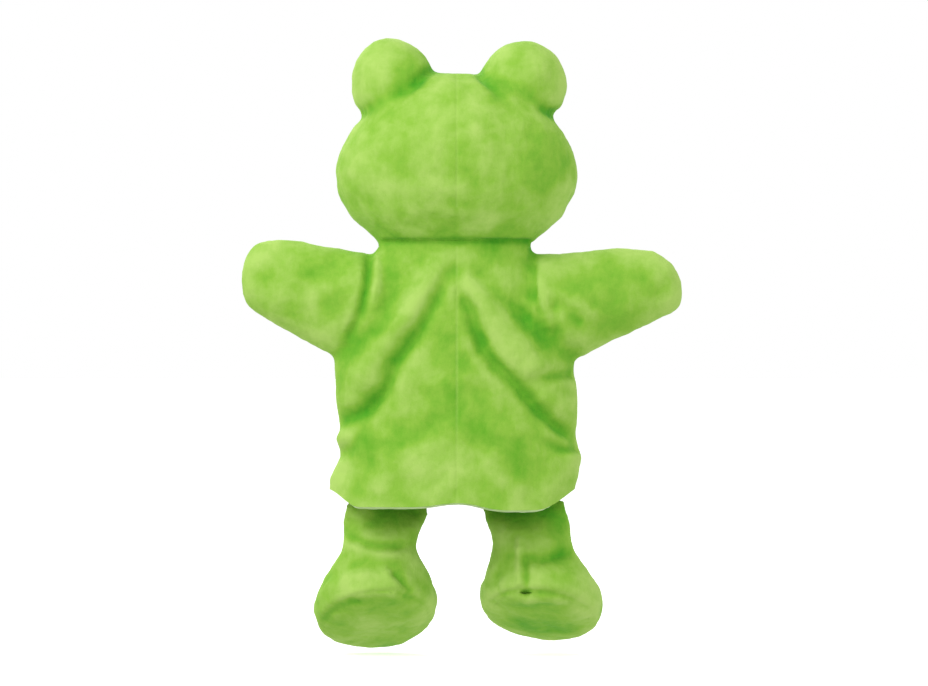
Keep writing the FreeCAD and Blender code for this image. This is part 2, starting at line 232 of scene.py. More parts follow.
def rumpled(obj, height, size, seed):
    """Soft unevenness, as stuffing and handling leave it."""
    points, normals = points_of(obj), normals_of(obj)
    shift = Vector((seed * 7.3, seed * 3.1, seed * 5.7))
    rise = np.array([noise.noise(Vector(p) / size + shift) for p in points]) * height
    place_points(obj, points + normals * rise[:, None])


def pinched(obj, height, depth, width, low, high):
    """A seam that runs round the form at one height, between two limits across."""
    points, normals = points_of(obj), normals_of(obj)
    inside = smooth_step((points[:, 0] - low) / 4) * smooth_step((high - points[:, 0]) / 4)
    rise = -depth * np.exp(-(((points[:, 2] - height) / width) ** 2)) * inside
    place_points(obj, points + normals * rise[:, None])


# ---- cutting the skin into its pieces
def cut_from(skin, name, *cuts, fill=False):
    """A copy with one side of each plane left: a cut is a point in mm and the way that stays."""
    piece = copy_of(skin, name)
    choose(piece)
    bpy.ops.object.mode_set(mode="EDIT")
    for point, way in cuts:
        bpy.ops.mesh.select_all(action="SELECT")
        bpy.ops.mesh.bisect(plane_co=Vector(point) * MM, plane_no=Vector(way), clear_inner=True,
                            use_fill=fill)
    bpy.ops.object.mode_set(mode="OBJECT")
    return piece


def as_cloth(piece, thickness):
    """Gives a cut piece its thickness, inwards from the skin."""
    finish_modifier(piece, "SOLIDIFY", thickness=thickness * MM, offset=-1.0, use_even_offset=False,
                    use_rim=True)
    choose(piece)
    bpy.ops.object.shade_smooth_by_angle(angle=radians(55))


def cloth(piece, material, thickness=PILE):
    """Gives a cut piece its thickness and finish."""
    as_cloth(piece, thickness)
    dressed(piece, material)


def along_arm(distance, side):
    place = ARMHOLE + ARM_LINE * distance
    return Vector((side * place.x, 0, place.z))


def level(z):
    return Vector((0, 0, z))


UP, DOWN, BACK, FRONT = Vector((0, 0, 1)), Vector((0, 0, -1)), Vector((0, 1, 0)), Vector((0, -1, 0))
LEFT, RIGHT = Vector((1, 0, 0)), Vector((-1, 0, 0))
SIDES = (("left", 1), ("right", -1))


def outwards(side):
    return Vector((side * ARM_LINE.x, 0, ARM_LINE.z))


# ---- finishes
def colour(hex_code):
    """A display colour such as 8EC044, as the linear light that the shaders use."""
    parts = [int(hex_code[i:i + 2], 16) / 255 for i in (0, 2, 4)]
    linear = [c / 12.92 if c <= 0.04045 else ((c + 0.055) / 1.055) ** 2.4 for c in parts]
    return (*linear, 1.0)


def linked(tree, target, links):
    """Gives each named input of a node a socket or a value."""
    for key, value in links.items():
        if isinstance(value, bpy.types.NodeSocket):
            tree.links.new(value, target.inputs[key])
        else:
            target.inputs[key].default_value = value


def node(tree, kind, links=None, stops=(), **settings):
    """Adds one node: settings are its own properties, links go to its inputs, and stops are a ramp's
    (place, hex) pairs."""
    new = tree.nodes.new(kind)
    for key, value in settings.items():
        setattr(new, key, value)
    linked(tree, new, links or {})
    for index, (position, hex_code) in enumerate(stops):
        element = new.color_ramp.elements[index] if index < 2 else new.color_ramp.elements.new(position)
        element.position = position
        element.color = colour(hex_code)
    return new


def blank(name):
    material = bpy.data.materials.new(name)
    material.use_nodes = True
    tree = material.node_tree
    shader = tree.nodes["Principled BSDF"]
    place = node(tree, "ShaderNodeTexCoord").outputs["Object"]
    return material, tree, shader, place


def seam_line(tree, place, axis, at, half_width=1.1):
    """1 on a seam that lies in a plane across one axis, falling to 0 beside it."""
    part = node(tree, "ShaderNodeSeparateXYZ", {0: place}).outputs[axis]
    from_it = node(tree, "ShaderNodeMath", {0: part, 1: at * MM}, operation="SUBTRACT").outputs[0]
    away = node(tree, "ShaderNodeMath", {0: from_it}, operation="ABSOLUTE").outputs[0]
    falling = {"Value": away, "From Min": 0.2 * MM, "From Max": half_width * MM, "To Min": 1.0, "To Max": 0.0}
    return node(tree, "ShaderNodeMapRange", falling, interpolation_type="SMOOTHSTEP").outputs[0]


def velboa(name, painted_shadow_tone, deep, mid, pale, seams=()):
    """Velboa, a short cut-pile polyester plush. The pile lies in brushed patches about 30 mm and 10 mm
    across that catch the light differently, over strokes of 2.5 mm and upright fibres of 0.5 mm, which are
    drawn coarser than the real ones so that they show. The stored fold depth adds painted light and shade:
    a ridge is painted paler as a painted highlight, and a fold is painted deeper as painted shade."""
    material, tree, shader, place = blank(name)
    patches = node(tree, "ShaderNodeTexNoise", {"Vector": place, "Scale": 1 / (34 * MM), "Detail": 2.0,
                                                "Roughness": 0.5, "Distortion": 0.35}).outputs["Fac"]
    dabs = node(tree, "ShaderNodeTexNoise", {"Vector": place, "Scale": 1 / (11 * MM), "Detail": 3.0,
                                             "Roughness": 0.55, "Distortion": 0.2}).outputs["Fac"]
    combed = node(tree, "ShaderNodeMapping", {"Vector": place, "Rotation": (0.0, 0.2, 0.0),
                                              "Scale": (1.0, 1.0, 0.4)}).outputs[0]
    strokes = node(tree, "ShaderNodeTexNoise", {"Vector": combed, "Scale": 1 / (2.5 * MM), "Detail": 3.0,
                                                "Roughness": 0.6, "Distortion": 0.3}).outputs["Fac"]
    fibres = node(tree, "ShaderNodeTexNoise", {"Vector": place, "Scale": 1 / (0.5 * MM), "Detail": 2.0,
                                               "Roughness": 0.7}).outputs["Fac"]
    brushed = node(tree, "ShaderNodeMix", {0: 0.36, 2: patches, 3: dabs}).outputs[0]
    combed_pile = node(tree, "ShaderNodeMix", {0: 0.5, 2: strokes, 3: fibres}).outputs[0]
    lie = node(tree, "ShaderNodeMix", {0: 0.16, 2: brushed, 3: combed_pile}).outputs[0]
    # the stored fold depth: painted shade in folds and painted highlight on ridges
    painted_fold_shade = node(tree, "ShaderNodeAttribute", attribute_name="painted_fold_shade").outputs["Fac"]
    lie_with_painted_shade = node(tree, "ShaderNodeMath", {0: painted_fold_shade, 1: -0.11, 2: lie}, operation="MULTIPLY_ADD").outputs[0]
    # the darkest tone is reached mostly through painted shade, in deep folds and under the hem
    greens = ((0.27, painted_shadow_tone), (0.66, pale), (0.38, deep), (0.50, mid))
    shade = node(tree, "ShaderNodeValToRGB", {"Fac": lie_with_painted_shade}, greens).outputs[0]
    height = node(tree, "ShaderNodeMix", {0: 0.35, 2: strokes, 3: fibres}).outputs[0]
    for axis, at in seams:
        line = seam_line(tree, place, axis, at)
        faint = node(tree, "ShaderNodeMath", {0: line, 1: dabs}, operation="MULTIPLY").outputs[0]
        faint = node(tree, "ShaderNodeMath", {0: faint, 1: 0.55}, operation="MULTIPLY").outputs[0]
        lighter = {0: faint, 6: shade, 7: colour(pale)}
        shade = node(tree, "ShaderNodeMix", lighter, data_type="RGBA").outputs[2]
        lower = {0: line, 1: -0.25, 2: height}
        height = node(tree, "ShaderNodeMath", lower, operation="MULTIPLY_ADD").outputs[0]
    bump = node(tree, "ShaderNodeBump", {"Height": height, "Strength": 0.5, "Distance": 0.8 * MM}).outputs[0]
    linked(tree, shader, {"Normal": bump, "Base Color": shade, "Roughness": 0.9, "Specular IOR Level": 0.15,
                          "Sheen Weight": 0.3, "Sheen Roughness": 0.4, "Sheen Tint": colour("D9F0A0")})
    return material


def knit(name, dark, light):
    """Warp-knitted polyester backing: matte, with rows of small loops 1.2 mm apart."""
    material, tree, shader, place = blank(name)
    loops = {"Vector": place, "Scale": 2 * pi / (20 * 1.2 * MM), "Distortion": 1.5, "Detail": 1.0}
    rows = node(tree, "ShaderNodeTexWave", loops, bands_direction="Z").outputs["Fac"]
    uneven = node(tree, "ShaderNodeTexNoise", {"Vector": place, "Scale": 1 / (12 * MM),
                                               "Detail": 3.0}).outputs["Fac"]
    tone = node(tree, "ShaderNodeMix", {0: 0.35, 2: uneven, 3: rows}).outputs[0]
    shade = node(tree, "ShaderNodeValToRGB", {"Fac": tone}, ((0.3, dark), (0.7, light))).outputs[0]
    bump = node(tree, "ShaderNodeBump", {"Height": rows, "Strength": 0.4, "Distance": 0.3 * MM}).outputs[0]
    linked(tree, shader, {"Normal": bump, "Base Color": shade, "Roughness": 0.95, "Specular IOR Level": 0.15})
    return material


def fibrous(name, dark, light, grain, roughness=0.95, depth=0.3):
    """Felt, card or loose fibre: matte, with a mottled surface of short tangled fibres. With hardly any
    depth it also gives the faint mottle of frosted acrylic."""
    material, tree, shader, place = blank(name)
    mottle = node(tree, "ShaderNodeTexNoise", {"Vector": place, "Scale": 1 / (grain * MM), "Detail": 4.0,
                                               "Roughness": 0.7, "Distortion": 1.2}).outputs["Fac"]
    shade = node(tree, "ShaderNodeValToRGB", {"Fac": mottle}, ((0.3, dark), (0.7, light))).outputs[0]
    bump = node(tree, "ShaderNodeBump", {"Height": mottle, "Strength": 0.6,
                                         "Distance": depth * MM}).outputs[0]
    linked(tree, shader, {"Normal": bump, "Base Color": shade, "Roughness": roughness,
                          "Specular IOR Level": 0.2, "Sheen Weight": 0.15})
    return material


def embroidery_thread(name, dark, light):
    """Twisted rayon thread: a soft gloss and fine twist lines 0.4 mm apart."""
    material, tree, shader, place = blank(name)
    strands = {"Vector": place, "Scale": 2 * pi / (20 * 0.4 * MM), "Distortion": 0.6}
    twist = node(tree, "ShaderNodeTexWave", strands, bands_direction="DIAGONAL").outputs["Fac"]
    shade = node(tree, "ShaderNodeValToRGB", {"Fac": twist}, ((0.2, dark), (0.8, light))).outputs[0]
    bump = node(tree, "ShaderNodeBump", {"Height": twist, "Strength": 0.5, "Distance": 0.1 * MM}).outputs[0]
    linked(tree, shader, {"Normal": bump, "Base Color": shade, "Roughness": 0.42})
    return material


def moulded_acrylic(name, dark, light):
    """Moulded acrylic of a toy's eye: deep gloss, broken only by faint flow marks and handling."""
    material, tree, shader, place = blank(name)
    marks = node(tree, "ShaderNodeTexNoise", {"Vector": place, "Scale": 1 / (3 * MM),
                                              "Detail": 4.0}).outputs["Fac"]
    rough = node(tree, "ShaderNodeMapRange", {"Value": marks, "To Min": 0.05, "To Max": 0.16}).outputs[0]
    shade = node(tree, "ShaderNodeValToRGB", {"Fac": marks}, ((0.3, dark), (0.8, light))).outputs[0]
    linked(tree, shader, {"Roughness": rough, "Base Color": shade, "IOR": 1.49})
    return material


# the first tone is the darkest, reached mostly through painted shade in folds and the painted shadow under
# the hem
GREEN = ("4CA322", "70B22E", "8EC141", "AFD468")
BACK_SEAM, SIDE_SEAM = (0, 0.0), (1, 0.0)
PLUSH_BODY = velboa("velboa_body", *GREEN, seams=(BACK_SEAM, SIDE_SEAM))
PLUSH_FRONT = velboa("velboa_front", *GREEN, seams=(SIDE_SEAM,))
PLUSH_PLAIN = velboa("velboa_plain", *GREEN)
PLUSH_BELLY = velboa("velboa_belly", "B4C455", "C4CF6A", "D8DE86", "E6EAA4")
HEM_EDGE = knit("hem_edge", "C4E09A", "E4F2C8")
KNIT_BACKING = knit("knitted_backing", "8FB65C", "B4D488")
FELT = fibrous("wool_felt", "DFDDD0", "F6F5EC", 0.8)
CARD = fibrous("grey_card", "8D8474", "A79D8A", 1.6, 0.9, 0.12)
FIBRE = fibrous("polyester_fibre", "DCDCD6", "F4F4F0", 2.5, 0.9, 1.0)
THREAD = embroidery_thread("rayon_thread", "1E3A12", "345A22")
ACRYLIC = moulded_acrylic("black_acrylic", "08090A", "17181A")


def dressed(piece, material):
    if not piece.material_slots:
        piece.data.materials.append(material)
    for slot in piece.material_slots:
        slot.material = material


FULL_HOLLOW = 1.1       # depth of a fold that gets the darkest painted shade


def paint_shade_by_shape(skin, hem_shadow_paint=0.0):
    """Stores how far each point lies in a fold, from -1 on a ridge to 1 in a fold, for painted light and
    shade in the pile's colour; its second argument adds painted shadow on a leg's top, under the glove's hem."""
    settled = copy_of(skin, "settled")
    finish_modifier(settled, "SMOOTH", factor=1.0, iterations=110)
    points = points_of(skin)
    depth = np.sum((points_of(settled) - points) * normals_of(skin), axis=1)
    discard(settled)
    # painted shadow of the hem on a leg's top, darker towards the hem
    painted_hem_shadow = hem_shadow_paint * smooth_step((points[:, 2] + 22) / 20)
    stored = skin.data.attributes.new("painted_fold_shade", "FLOAT", "POINT")
    stored.data.foreach_set("value", (np.clip(depth / FULL_HOLLOW, -1.0, 1.0) + painted_hem_shadow).astype(np.float32))


# ---- the puppet's skin
def body_form():
    rows = ((-8, 2.5, 60.5, 26), (0, 2.5, 61.5, 26.5), (9, 1.5, 62.5, 26.5), (20, -1, 61.3, 26),
            (36, 0, 60.8, 25.5), (48, 0, 60.8, 25), (60, 0.5, 60.8, 25), (70, 1.5, 59.8, 24.5),
            (82, 1.5, 57, 24), (96, 1, 52.5, 23), (110, 1, 47, 21.5), (121, 1, 41.5, 20),
            (131, 1, 37.8, 18.5), (138, 1, 36, 17))
    return lofted("body_form", [(x, 0, z, a, b) for z, x, a, b in rows])


def arm_form(name, rows, side):
    return lofted(name, [(side * x, 0, z, deep, high) for x, z, deep, high in rows], across="X")


def head_form():
    rows = ((126, 1, 34, 15), (131, 1, 38.2, 18.5), (136.5, 0.3, 44.6, 25), (145, -0.2, 53.6, 33),
            (157, 0, 60, 38), (167.5, 0.3, 61, 39.2), (177.5, 0.2, 58.4, 39), (187.5, -0.3, 52.8, 37),
            (197, -0.5, 46, 33), (206, -1, 39.5, 27), (212.5, -1.5, 30, 19), (216, -1.5, 17, 9))
    return lofted("head_form", [(x, -1, z, a, b) for z, x, a, b in rows])


BACK_FOLDS = (
    # left ridge of the upturned V, the sharp valley on its inner side and a shallow one along the armhole
    (((2, 122), (9, 115), (21, 97.5), (33, 85), (45, 69), (52, 54)), 8.0, 2.8, 4.4),
    (((1, 122), (6.3, 111), (15, 94.7), (23.5, 81), (31, 71.5), (36, 57.5), (44, 48.5), (62, 40)),
     4.2, -2.6, -5.0),
    (((20, 118), (30, 104), (38, 90)), 6.0, -1.2, -1.0),
    # right ridge, its inner valley and the outer one that runs to the armpit
    (((-2, 119), (-4.5, 111), (-13, 101), (-22.5, 89), (-31, 77.5), (-37, 70), (-47, 61)), 7.6, 2.8, 4.4),
    (((0, 116), (-1.8, 106), (-7, 97.5), (-10, 87), (-13, 78), (-19.5, 70), (-31, 59), (-41.5, 47),
      (-51, 39), (-64, 30)), 3.6, -3.0, -5.0),
    (((-4, 119), (-13, 111), (-23.5, 102), (-34, 94.5), (-42.5, 87), (-56, 76)), 5.0, -1.8, -3.0),
    # ridge and crease from the right valley out to the side
    (((-33, 63), (-46, 64.5), (-62, 66)), 3.0, -0.8, -3.6),
    (((-38, 54), (-50, 50), (-60, 48)), 5.6, 1.4, 2.4),
    # the armholes' seams and the ridges beside them
    (((43.4, 128), (43.8, 118), (44.6, 109), (48, 96.5), (52, 88), (55, 80)), 2.6, -3.4, -2.4),
    (((40.2, 127), (40.4, 112), (43.6, 96)), 2.2, 1.2, 0.8),
    (((-37.8, 127), (-38, 104), (-43, 92)), 2.6, -2.8, -2.0),
    (((-48, 102), (-49.5, 92), (-50.5, 84)), 2.6, -1.3, -1.2),
    (((-47, 102), (-55, 98), (-63, 89)), 3.2, -1.2, -1.4),
    (((-56, 104), (-63, 99), (-70, 94)), 3.6, 0.8, 0.8),
    # short creases at the sides and above the hem
    (((47, 36), (55, 27), (66, 23)), 3.6, -0.6, -3.0),
    (((50, 32), (58, 34), (64, 33)), 3.6, 0.8, 2.0),
    (((-40, 33), (-52, 28), (-66, 27)), 3.2, -0.6, -3.4),
    (((20, 30), (34, 16), (42, 6)), 8.0, 1.4, 0.8),
    (((10, 44), (24, 32), (40, 28)), 6.0, -1.4, -0.6),
    (((-12, 26), (-26, 12), (-34, 5)), 7.0, 1.2, 0.6),
    (((0.6, 128), (0.2, 70), (0, 4)), 0.9, -0.25, -0.2),
    (((0.4, 214), (0, 170), (0.6, 133)), 0.9, -0.2, -0.3),
    # creases at the roots of the eyes, and the notches outside them
    (((-9, 218), (-12, 214), (-21, 204), (-26, 200)), 2.4, -3.0, -0.6),
    (((11, 219), (15, 216), (24, 206), (34, 203)), 2.6, -2.6, -0.6),
    (((54, 194), (47, 196), (40, 199)), 3.0, -3.0, -0.6),
    (((-54, 194.5), (-47, 196), (-40, 199)), 2.6, -3.0, -0.6),
    # dents in the arms
    (((58, 122), (68, 116), (76, 112)), 5.0, -1.4, -0.4),
    (((66, 106), (80, 101), (96, 100)), 8.0, 0.8, 1.2),
    (((-58, 112), (-78, 118), (-96, 118)), 7.0, -0.8, -0.4),
)
FRONT_FOLDS = (
    (((3, 126), (14, 108), (30, 88), (50, 76)), 7.5, 2.2, 2.0),
    (((-4, 126), (-16, 106), (-32, 88), (-52, 74)), 7.5, 2.0, 2.4),
    (((42, 129), (46, 108), (52, 88), (57, 74)), 3.0, -3.2, -2.6),
    (((-37, 129), (-42, 108), (-50, 88), (-58, 75)), 3.0, -3.2, -2.6),
    (((40, 66), (52, 48), (62, 34)), 4.0, -1.6, -3.0),
    (((-42, 60), (-52, 44), (-62, 30)), 4.0, -1.6, -3.0),
    (((-9, 217), (-15, 210), (-24, 203), (-36, 199)), 2.4, -2.6, -0.8),
    (((10, 217), (16, 211), (26, 203), (37, 199)), 2.4, -2.6, -0.8),
    (((54, 194), (47, 196), (40, 199)), 3.0, -3.0, -0.6),
    (((-54, 194.5), (-47, 196), (-40, 199)), 2.6, -3.0, -0.6),
    # the mouth sinks a little into the stuffing
    (((-33, 162), (-20, 153), (0, 148.5), (20, 153), (33, 162)), 3.0, -1.6, -1.6),
)


HEM_REACH = 30          # height up to which the hem's line moves the skin


def hem_line(x):
    """The hem's height above the hand opening's plane: raised in the middle, with rounded corners."""
    middle = 2.2 * np.exp(-((x / 13) ** 2)) - 0.5 - 1.5 * smooth_step((-x - 4) / 20)
    corners = 8.5 * smooth_step((x - 49) / 16) + 13 * smooth_step((-x - 37) / 30) ** 1.3
    return middle + corners


def puppet_skin():
    left = ((38, 99, 20, 27), (50, 99, 18.5, 27.4), (63, 102, 16, 26.4), (78, 107.8, 13.5, 24.7),
            (91, 111.3, 12, 21.4), (100, 113.6, 10.5, 17.5), (106, 112, 8, 12), (108.5, 111, 4, 5))
    right = ((38, 99, 20, 27), (50, 98.3, 18.5, 27), (63, 100, 16, 25.8), (77, 105.2, 13.5, 23.2),
             (90, 108, 12, 21.2), (100, 109.6, 11, 18.8), (108, 108.2, 9, 13.6), (113, 105.4, 4.5, 6.5))
    eyes = [ball("eye_form", (32.2, -3, 210.8), (21.4, 19.8, 22.8)),
            ball("eye_form", (-33.6, -3, 209.6), (21.8, 19.8, 22.2))]
    skin = melted("skin", [body_form(), arm_form("arm_form", left, 1), arm_form("arm_form", right, -1),
                           head_form(), *eyes], 9, SKIN_VOXEL)
    rumpled(skin, height=1.5, size=26, seed=1)
    rumpled(skin, height=0.55, size=9, seed=2)
    pressed(skin, BACK_FOLDS, 1)
    pressed(skin, FRONT_FOLDS, -1)
    pinched(skin, NECK_SEAM, depth=2.2, width=1.3, low=-39, high=39)
    finish_modifier(skin, "SMOOTH", factor=0.5, iterations=1)
    rumpled(skin, height=0.16, size=2.6, seed=3)
    points = points_of(skin)
    lift = hem_line(points[:, 0]) * np.clip(1 - points[:, 2] / HEM_REACH, 0, 1)
    points[:, 2] += np.where(points[:, 2] < HEM_REACH, lift, 0)
    place_points(skin, points)
    # painted shade in the folds and painted highlight on the ridges, for the plush's colour
    paint_shade_by_shape(skin)
    return skin


def open_at_hem(skin):
    """Takes away the floor of the melted form, so that the glove is open below."""
    points = points_of(skin)
    keep = points[:, 2] - hem_line(points[:, 0]) > 0.3
    mesh = bmesh.new()
    mesh.from_mesh(skin.data)
    mesh.verts.ensure_lookup_table()
    bmesh.ops.delete(mesh, geom=[v for v, stays in zip(mesh.verts, keep) if not stays], context="VERTS")
    edge = [v for v in mesh.verts if v.is_boundary]
    for vertex in edge:
        vertex.co.z = hem_line(vertex.co.x / MM) * MM
    mesh.to_mesh(skin.data)
    mesh.free()


# ---- legs and feet
SOLE_LEVEL = 9.0        # foot's middle down to the sole's seam
SOLE_FLATTENED = 0.36   # share of the rounding that is left below the sole's seam
ANKLE_TO_FOOT = -30.0   # below this height the skin is the foot's
HEM_HALF_DEPTH, HEM_HALF_WIDTH = 23.5, 62
FOOT_RADII = {1: (31.4, 38, 19.5), -1: (31.4, 37, 19.5)}
FOOT_PLACE = {1: (40.9, -28, -51.6), -1: (-42.8, -27.5, -49.0)}
FOOT_TURNS = {1: (28, 4, 3), -1: (26, 7, 4)}    # droop, toe-out and roll, in degrees
LEG_ROWS = {
    1: ((3, 35.5, -15.2, 20.5, 2.6), (-1, 35.5, -15.2, 21.4, 3.6), (-6, 35.8, -15, 21.6, 7.5),
        (-13, 37.6, -13.5, 20.0, 11.0),
        (-19, 38.8, -12, 18.6, 11.2), (-24, 39, -12.5, 19.4, 12.5), (-31, 39.6, -14, 23.6, 15),
        (-39, 40, -17, 27.6, 17), (-46, 40.2, -20, 28, 16)),
    -1: ((3, 33.5, -15.8, 20.8, 2.6), (-1, 33.5, -15.8, 22, 3.6), (-6, 34.6, -15.4, 21.6, 7.5),
         (-13, 36.6, -13.5, 20.4, 11.0),
         (-19, 37.8, -12, 19.8, 11.2), (-24, 38.4, -12.5, 20.8, 12.5), (-31, 40, -14, 24.4, 15),
         (-39, 41.4, -17, 27.6, 17), (-46, 42, -20, 28, 16)),
}
LEG_FOLDS = {
    1: (
        (((56, -15), (44, -20), (30, -21), (23, -20)), 2.6, -2.2, -1.4),
        (((54, -20), (40, -25), (26, -25)), 3.0, 0.8, 1.0),
        (((33, -33), (27, -38), (22, -45)), 2.4, -2.6, -1.6),
        (((36, -32), (31, -38), (29, -44)), 2.6, 1.8, 1.0),
        (((56, -46), (42, -43), (28, -44)), 2.4, 1.2, 1.2),
    ),
    -1: (
        (((-30.5, -18), (-31, -34), (-31, -43)), 1.6, 1.6, 1.4),
        (((-33.5, -26), (-34.5, -38), (-34, -47)), 2.0, -1.6, -1.2),
        (((-31, -48), (-44, -46.5), (-54, -48)), 2.2, 1.4, 1.2),
        (((-20, -32), (-19, -40), (-23, -47)), 2.4, -1.4, -0.8),
        (((-56, -24), (-44, -27), (-26, -26)), 2.4, -1.8, -1.0),
    ),
}
LEG_FRONT_FOLDS = (
    (((56, -22), (40, -26), (22, -22)), 2.8, -2.0, -2.0),
    (((-56, -22), (-40, -26), (-22, -22)), 2.8, -2.0, -2.0),
)


def foot_frame(side):
    """The foot's own frame, with -Y towards the toes: its place, its droop and a little toe-out."""
    droop, toe_out, roll = FOOT_TURNS[side]
    turn = (Matrix.Rotation(radians(toe_out * side), 4, "Z") @ Matrix.Rotation(radians(roll * side), 4, "Y")
            @ Matrix.Rotation(radians(droop), 4, "X"))
    return Matrix.Translation(Vector(FOOT_PLACE[side])) @ turn


def leg_skin(side):
    """Leg and foot in one skin; the leg's flat top follows the front of the hem, which it is sewn into."""
    leg = lofted("leg_form", [(side * x, y, z, a, b) for z, x, y, a, b in LEG_ROWS[side]])
    foot = ball("foot_form", (0, 0, 0), FOOT_RADII[side])
    points = points_of(foot)
    below = points[:, 2] + SOLE_LEVEL
    points[:, 2] = np.where(below < 0, -SOLE_LEVEL + below * SOLE_FLATTENED, points[:, 2])
    place_points(foot, points)
    frame_of_foot = foot_frame(side)
    foot.data.transform(Matrix.Translation(frame_of_foot.translation * MM) @ frame_of_foot.to_3x3().to_4x4())
    skin = melted(f"leg_skin_{side}", [leg, foot], 6, LEG_VOXEL)
    points = points_of(skin)
    round_hem = np.sqrt(np.clip(1 - (points[:, 0] / HEM_HALF_WIDTH) ** 2, 0.0, 1.0))
    bend = HEM_HALF_DEPTH * (0.82 - round_hem)
    points[:, 1] += bend * smooth_step((points[:, 2] + 13) / 12)
    place_points(skin, points)
    rumpled(skin, height=1.0, size=18, seed=5 + side)
    rumpled(skin, height=0.45, size=7, seed=8 + side)
    pressed(skin, LEG_FOLDS[side], 1)
    pressed(skin, LEG_FRONT_FOLDS, -1)
    points, normals = points_of(skin), normals_of(skin)
    across = np.array(frame_of_foot.to_3x3() @ Vector((0, 0, 1)))
    height = (points - np.array(frame_of_foot.translation)) @ across + SOLE_LEVEL
    groove = -1.1 * np.exp(-((height / 1.2) ** 2)) + 0.4 * np.exp(-(((height - 3.0) / 2.0) ** 2))
    at_heel = 0.35 + 0.65 * smooth_step((points[:, 1] + 30) / 25)
    on_foot = points[:, 2] < ANKLE_TO_FOOT
    place_points(skin, points + normals * (groove * at_heel * on_foot)[:, None])
    finish_modifier(skin, "SMOOTH", factor=0.4, iterations=1)
    rumpled(skin, height=0.16, size=2.6, seed=4)
    # painted shade in the folds, and painted shadow on the leg's top under the hem
    paint_shade_by_shape(skin, hem_shadow_paint=1.3)
    return skin


def leg_pieces(name, side):
    skin = leg_skin(side)
    frame_of_foot = foot_frame(side)
    sole_at = frame_of_foot @ Vector((0, 0, -SOLE_LEVEL))
    through = frame_of_foot.to_3x3() @ Vector((0, 0, -1))
    parts = (
        ("leg_cover", [(level(ANKLE_BEND[0]), UP)], "torso", f"leg_{name}", HIP_BEND),
        ("ankle_seam", [(level(ANKLE_BEND[1]), UP), (level(ANKLE_BEND[0]), DOWN)], f"leg_{name}",
         f"ankle_seam_{name}", ANKLE_BEND),
        ("foot_upper", [(level(FOOT_TURN[0]), DOWN), (sole_at, -through)], f"ankle_seam_{name}",
         f"foot_{name}", FOOT_TURN),
    )
    for part, cuts, above, below, span in parts:
        piece = cut_from(skin, f"{part}_plush_{name}", *cuts, fill=True)
        stuffed(piece, PLUSH_PLAIN)
        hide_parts(f"{part}_{name}")
        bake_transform(piece)
        if part != "ankle_seam":
            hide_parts(f"{part.split('_')[0]}_stuffing_{name}")
    sole = cut_from(skin, f"foot_sole_plush_{name}", (sole_at, through), (level(ANKLE_TO_FOOT), DOWN),
                    fill=True)
    stuffed(sole, PLUSH_PLAIN)
    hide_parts(f"foot_sole_{name}")
    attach(sole, f"foot_{name}")
    discard(skin)


def stuffed(piece, material):
    choose(piece)
    bpy.ops.object.shade_smooth_by_angle(angle=radians(55))
    dressed(piece, material)


# ---- glove
def shrunk(piece, distance):
    """Moves a copy of the skin inwards, to lie under it."""
    points, normals = points_of(piece), normals_of(piece)
    place_points(piece, points - normals * distance)


def glove_pieces(skin):
    armholes = [(along_arm(SHOULDER[0], side), -outwards(side)) for _, side in SIDES]
    body = cut_from(skin, "body_skin", (level(NECK_TWIST[0]), DOWN), *armholes)
    panels = (("back_panel_left", PLUSH_BODY, ((level(0), BACK), (level(0), LEFT)), (74, 140)),
              ("back_panel_right", PLUSH_BODY, ((level(0), BACK), (level(0), RIGHT)), (74, 140)),
              ("front_panel", PLUSH_FRONT, ((level(0), FRONT),), (142, 140)))
    for name, plush, cuts, flat in panels:
        panel = cut_from(body, f"{name}_plush", *cuts)
        cloth(panel, plush)
        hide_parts(name)
        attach(panel, "torso")

    lining = cut_from(body, "glove_lining_knit", (level(HEM_TUCK), UP))
    shrunk(lining, PILE + LINING_GAP)
    cloth(lining, KNIT_BACKING, KNIT)
    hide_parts("glove_lining")
    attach(lining, "torso")

    band = cut_from(body, "hem_band_knit", (level(HEM_TUCK), DOWN))
    shrunk(band, PILE + HEM_GAP)
    points = points_of(band)
    points[:, 2] -= HEM_SHOWS * smooth_step(1 - points[:, 2] / HEM_TUCK)
    place_points(band, points)
    cloth(band, HEM_EDGE, HEM_CLOTH)
    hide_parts("hem_band")
    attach(band, "torso")

    patch = laid_on("belly_patch_plush", body, (0, 50), (34, 40), BELLY_CLOTH)
    dressed(patch, PLUSH_BELLY)
    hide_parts("belly_patch")
    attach(patch, "torso")
    discard(body)


MITT_ABOVE_NECK = 8     # how far above the neck seam a mitt's cloth may reach


def arm_pieces(skin, name, side):
    shoulder = cut_from(skin, f"armhole_gather_{name}", (along_arm(SHOULDER[0], side), outwards(side)),
                        (along_arm(SHOULDER[1], side), -outwards(side)), (level(NECK_TWIST[0]), DOWN))
    cloth(shoulder, PLUSH_FRONT)
    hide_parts(f"armhole_seam_{name}")
    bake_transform(shoulder)
    root = (along_arm(ARM_BEND[0], side), outwards(side))
    below_head = (level(NECK_TWIST[0] + MITT_ABOVE_NECK), DOWN)
    for half, way in (("back", BACK), ("front", FRONT)):
        mitt = cut_from(skin, f"mitt_{half}_{name}", root, (level(0), way), below_head)
        cloth(mitt, PLUSH_FRONT)
        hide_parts(f"arm_{half}_{name}")
        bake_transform(mitt)
    lining = cut_from(skin, f"mitt_lining_{name}", root, below_head)
    shrunk(lining, PILE + MITT_GAP)
    cloth(lining, KNIT_BACKING, KNIT)
    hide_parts(f"arm_lining_{name}")
    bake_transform(lining)


# ---- head
def over_arm(side):
    """A plane that rises outwards from the neck and leaves an arm's top off the head's skin."""
    return Vector((side * 40, 0, NECK_TWIST[0] + 0.5)), Vector((side * -0.28, 0, 0.96))


